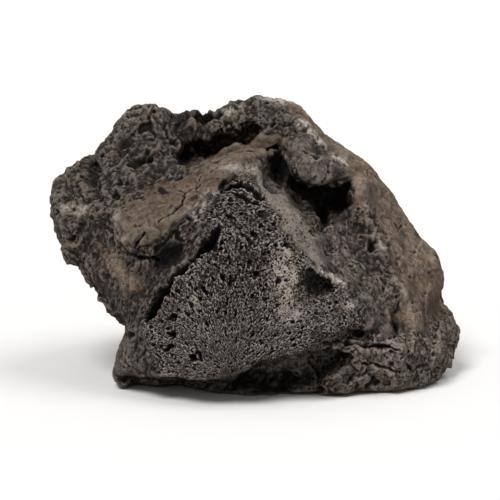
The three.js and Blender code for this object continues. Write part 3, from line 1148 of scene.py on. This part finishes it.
@dataclass(frozen=True)
class Basalt:
    """Vesicular basalt, broken from a flow.

    The lava froths as its gas comes out, and freezes full of bubbles. A break cuts them open, so that the
    rock is dark and dull. Its holes, cracks and hollows are painted near-black as painted shade, and its
    sharp rims are painted paler as painted highlight. Air and water turn an old face brown, and leave a white
    mineral crust on its edges.

    Attributes:
        void: Painted shade, the near-black deep in bubbles, pores and cracks, in dark hollows and under
            cover.
        crust: Colour of the white mineral crust.
        streak: Colour of the pale worn streaks.
        patch_mm: Size of the broad patches of colour.
        mottle_mm: Size of the mottling in them.
        grain_mm: Size of the grains, drawn coarser than the real 0.1 mm so that they show.
        relief_mm: Size of the lumps too fine for the mesh.
        pore_mm: Spacing of the finest pores, drawn coarser than the real 0.3 mm so that they show.
        stops: Tones that get the darkest and the palest colour of a surface.
        roughness: Of the broken rock.
        sheen: Specular level, low because the glassy grains are pitted all over.
    """

    void: str = "#0a0807"
    crust: str = "#b9afa4"
    streak: str = "#a3988e"
    patch_mm: float = 22.0
    mottle_mm: float = 4.5
    grain_mm: float = 0.8
    relief_mm: float = 2.0
    pore_mm: float = 1.05
    stops: Spot = (0.14, 0.94)
    roughness: float = 0.92
    sheen: float = 0.25

    def material(self) -> bpy.types.Material:
        """Builds the finish, which reads the marks that the stone stores on its points.

        Returns:
            The material.
        """
        material = bpy.data.materials.new("vesicular_basalt")
        material.use_nodes = True
        tree = material.node_tree
        tree.nodes.clear()
        place = add(tree, "TexCoord", out="Object")
        mark = {
            name: add(tree, "Attribute", {"attribute_name": name}, out="Fac")
            for name in [zone.value for zone in Zone] + list(MARKS)
        }
        drawn = add(tree, "Attribute", {"attribute_name": "flow"}, out="Vector")
        noises = (
            (self.patch_mm, 3, place), (self.mottle_mm, 4, place),
            (self.grain_mm, 3, drawn), (self.relief_mm, 3, drawn),
        )
        patch, mottle, grain, relief = (
            add(tree, "TexNoise", {"Scale": 1 / (mm * MM), "Detail": fine, "Roughness": 0.6, "Vector": at})
            for mm, fine, at in noises
        )
        # Fine pores: dented by the bump, and painted near-black inside as painted shade.
        holes = 0.0
        for spacing in (1.6 * self.pore_mm, self.pore_mm):
            holes = self.pores(tree, drawn, mottle, mark["fleck"], spacing, holes)

        # The tone is random patches, mottle and grain, plus a painted highlight on sharp rims and painted
        # shade in creases from the crest mark.
        colour = self.hues(tree, mark, ((patch, 0.5), (mottle, 0.9), (grain, 1.2), (mark["crest"], 0.65)))
        flaky = 0.0
        for source, factor in ((mottle, 0.45), (relief, 0.55)):
            flaky = add(tree, "Math", {"operation": "MULTIPLY_ADD", 0: source, 1: factor, 2: flaky})
        broken = add(tree, "MapRange", {"From Min": 0.42, "From Max": 0.56, "Value": flaky})
        # Painted shade: where little sky reaches the stone, its colour goes towards the near-black void.
        shade = {"From Min": 0.03, "From Max": 0.42, "To Min": 1.0, "To Max": 0.0, "Value": mark["sky"]}
        deep = add(tree, "MapRange", shade)
        # Streaks and crust are the rock's own colours; the rest is painted shade: near-black in pores, pits
        # and cracks, dark hollows and where little sky reaches.
        layers = (
            (mark["streak"], broken, self.streak), (mark["crust"], broken, self.crust),
            (holes, 0.94, self.void), (mark["pit"], 0.93, self.void),
            (mark["hollow_shade"], 1.0, self.void), (deep, 0.92, self.void),
        )
        for source, most, pale in layers:
            share = add(tree, "Math", {"operation": "MULTIPLY", 0: source, 1: most})
            colour = add(tree, "Mix", {"data_type": "RGBA", 0: share, 6: colour, 7: linear(pale)}, out=2)

        height = 0.0
        for source, factor in ((holes, -0.6), (grain, 0.4), (relief, 0.5)):
            height = add(tree, "Math", {"operation": "MULTIPLY_ADD", 0: source, 1: factor, 2: height})
        bump = add(tree, "Bump", {"Strength": 1.0, "Distance": MM, "Height": height})
        look = {"Roughness": self.roughness, "Specular IOR Level": self.sheen}
        shader = add(tree, "BsdfPrincipled", look | {"Base Color": colour, "Normal": bump})
        add(tree, "OutputMaterial", {"Surface": shader})
        return material

    def hues(
        self, tree: bpy.types.NodeTree, mark: dict[str, Any], swings: tuple[tuple[Any, float], ...]
    ) -> Any:
        """Colours each kind of surface, from its darkest to its palest, and joins them by their cover.

        Args:
            tree: The tree that gets the nodes.
            mark: Sockets of the stone's marks.
            swings: What moves the tone, and how much.

        Returns:
            The colour's socket.
        """
        tone = -0.8
        for source, factor in swings:
            tone = add(tree, "Math", {"operation": "MULTIPLY_ADD", 0: source, 1: factor, 2: tone})
        colour = None
        for zone, surface in SURFACES.items():
            hue = add(tree, "ValToRGB", {"Fac": tone})
            elements = hue.node.color_ramp.elements
            for element, tone_at, shade in zip(elements, self.stops, (surface.shadow, surface.bloom)):
                element.position, element.color = tone_at, linear(shade)
            elements.new(0.5).color = linear(surface.body)
            if colour is not None:
                hue = add(tree, "Mix", {"data_type": "RGBA", 0: mark[zone.value], 6: colour, 7: hue}, out=2)
            colour = hue
        return colour

    @staticmethod
    def pores(
        tree: bpy.types.NodeTree, place: Any, mottle: Any, fleck: Any, size_mm: float, over: Any
    ) -> Any:
        """Draws the pores too fine for the mesh.

        Args:
            tree: The tree that gets the nodes.
            place: Where the pattern is read.
            mottle: Noise that makes them thicker here than there.
            fleck: How thickly they are strewn.
            size_mm: Their spacing.
            over: Pores drawn already, as a socket or 0.

        Returns:
            A socket, 1 in the pores and 0 between them.
        """
        wave = {"Scale": 1 / (1.4 * size_mm * MM), "Detail": 1.0, "Vector": place}
        shake = add(tree, "TexNoise", wave, out="Color")
        bend = (0.6 * size_mm * MM,) * 3
        bent = add(tree, "VectorMath", {"operation": "MULTIPLY_ADD", 0: shake, 1: bend, 2: place})
        away = add(tree, "TexVoronoi", {"Scale": 1 / (size_mm * MM), "Vector": bent}, out="Distance")
        gap = add(tree, "Math", {"operation": "MULTIPLY_ADD", 0: mottle, 1: 1.9, 2: -0.38})
        for factor in (fleck, away.node.outputs["Color"]):
            gap = add(tree, "Math", {"operation": "MULTIPLY", 0: gap, 1: factor})
        gap = add(tree, "Math", {"operation": "MULTIPLY_ADD", 0: gap, 1: 1.7, 2: fleck})
        depth = add(tree, "Math", {"operation": "MULTIPLY_ADD", 0: gap, 1: 0.29, 2: -0.02})
        depth = add(tree, "Math", {"operation": "SUBTRACT", 0: depth, 1: away})
        hole = add(tree, "MapRange", {"From Min": -0.03, "From Max": 0.08, "Value": depth})
        return add(tree, "Math", {"operation": "MAXIMUM", 0: over, 1: hole})


@dataclass(frozen=True)
class Lamp:
    """A broad far-off lamp.

    Attributes:
        name: Its name.
        way: Where it shines from.
        strength: How much light it gives.
        width_deg: How wide it looks from the stone.
    """

    name: str
    way: Point
    strength: float
    width_deg: float

    def build(self) -> None:
        """Adds the lamp to the scene."""
        data = bpy.data.lights.new(self.name, "SUN")
        data.energy = self.strength
        data.angle = math.radians(self.width_deg)
        lamp = bpy.data.objects.new(self.name, data)
        lamp.rotation_euler = Vector(self.way).to_track_quat("Z", "Y").to_euler()
        bpy.context.scene.collection.objects.link(lamp)


@dataclass(frozen=True)
class Studio:
    """A plain pale floor under soft light, and the camera.

    Attributes:
        paper: Colour of the floor.
        size_m: Width of the floor.
        sky: How much light comes from all round.
        lamps: The lamps.
        height_deg: How far above the ground the camera looks from.
        distance_m: From the camera to what it aims at.
        lens_mm: Focal length, on a sensor 36 mm wide.
        aim_mm: What it aims at.
    """

    paper: str = "#f4f2f0"
    size_m: float = 60.0
    sky: float = 0.38
    lamps: tuple[Lamp, ...] = (
        Lamp("key", (-0.35, -0.55, 1.0), 2.1, 25.0),
        Lamp("top", (0.5, -0.1, 1.0), 0.85, 30.0),
    )
    height_deg: float = 12.0
    distance_m: float = 1.0
    lens_mm: float = 147.6
    aim_mm: Point = (-3.6, 0.0, 61.0)

    def build(self) -> None:
        """Adds the floor, the light and the camera."""
        self.floor()
        self.light()
        self.camera()
        log.info("studio: floor, %d lamps and camera", len(self.lamps))

    def floor(self) -> None:
        """Adds the floor, of matt paper, which scatters light evenly and so shows soft shadows."""
        half = self.size_m / 2
        corners = [(-half, -half, 0), (half, -half, 0), (half, half, 0), (-half, half, 0)]
        mesh = bpy.data.meshes.new("floor")
        mesh.from_pydata(corners, [], [(0, 1, 2, 3)])
        floor = bpy.data.objects.new("floor", mesh)
        bpy.context.scene.collection.objects.link(floor)
        material = bpy.data.materials.new("matt_paper")
        material.use_nodes = True
        shader = material.node_tree.nodes["Principled BSDF"]
        shader.inputs["Base Color"].default_value = linear(self.paper)
        shader.inputs["Roughness"].default_value = 0.9
        mesh.materials.append(material)

    def light(self) -> None:
        """Adds the sky and the lamps."""
        world = bpy.data.worlds.new("sky")
        bpy.context.scene.world = world
        world.use_nodes = True
        background = world.node_tree.nodes["Background"]
        background.inputs["Color"].default_value = linear("#ffffff")
        background.inputs["Strength"].default_value = self.sky
        for lamp in self.lamps:
            lamp.build()

    def camera(self) -> None:
        """Adds the camera, level with the front of the stone."""
        aim = Vector(self.aim_mm) * MM
        tilt = math.radians(self.height_deg)
        camera = bpy.data.objects.new("camera", bpy.data.cameras.new("camera"))
        camera.location = aim + self.distance_m * Vector((0, -math.cos(tilt), math.sin(tilt)))
        camera.rotation_euler = (aim - camera.location).to_track_quat("-Z", "Y").to_euler()
        camera.data.lens = self.lens_mm
        camera.data.sensor_width = 36.0
        camera.data.clip_end = 100.0
        scene = bpy.context.scene
        scene.collection.objects.link(camera)
        scene.camera = camera
        scene.view_settings.view_transform = "Standard"


def main() -> None:
    """Loads the solid, builds the stone over it, and sets the studio round it."""
    logging.basicConfig(level=logging.INFO, format="%(name)s: %(message)s")
    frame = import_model()
    Studio().build()
    skin = Stone().build(frame["nodes"][NODE])
    skin.data.materials.clear()
    skin.data.materials.append(Basalt().material())
    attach(skin, "root")
    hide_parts(NODE)


if __name__ == "__main__":
    main()
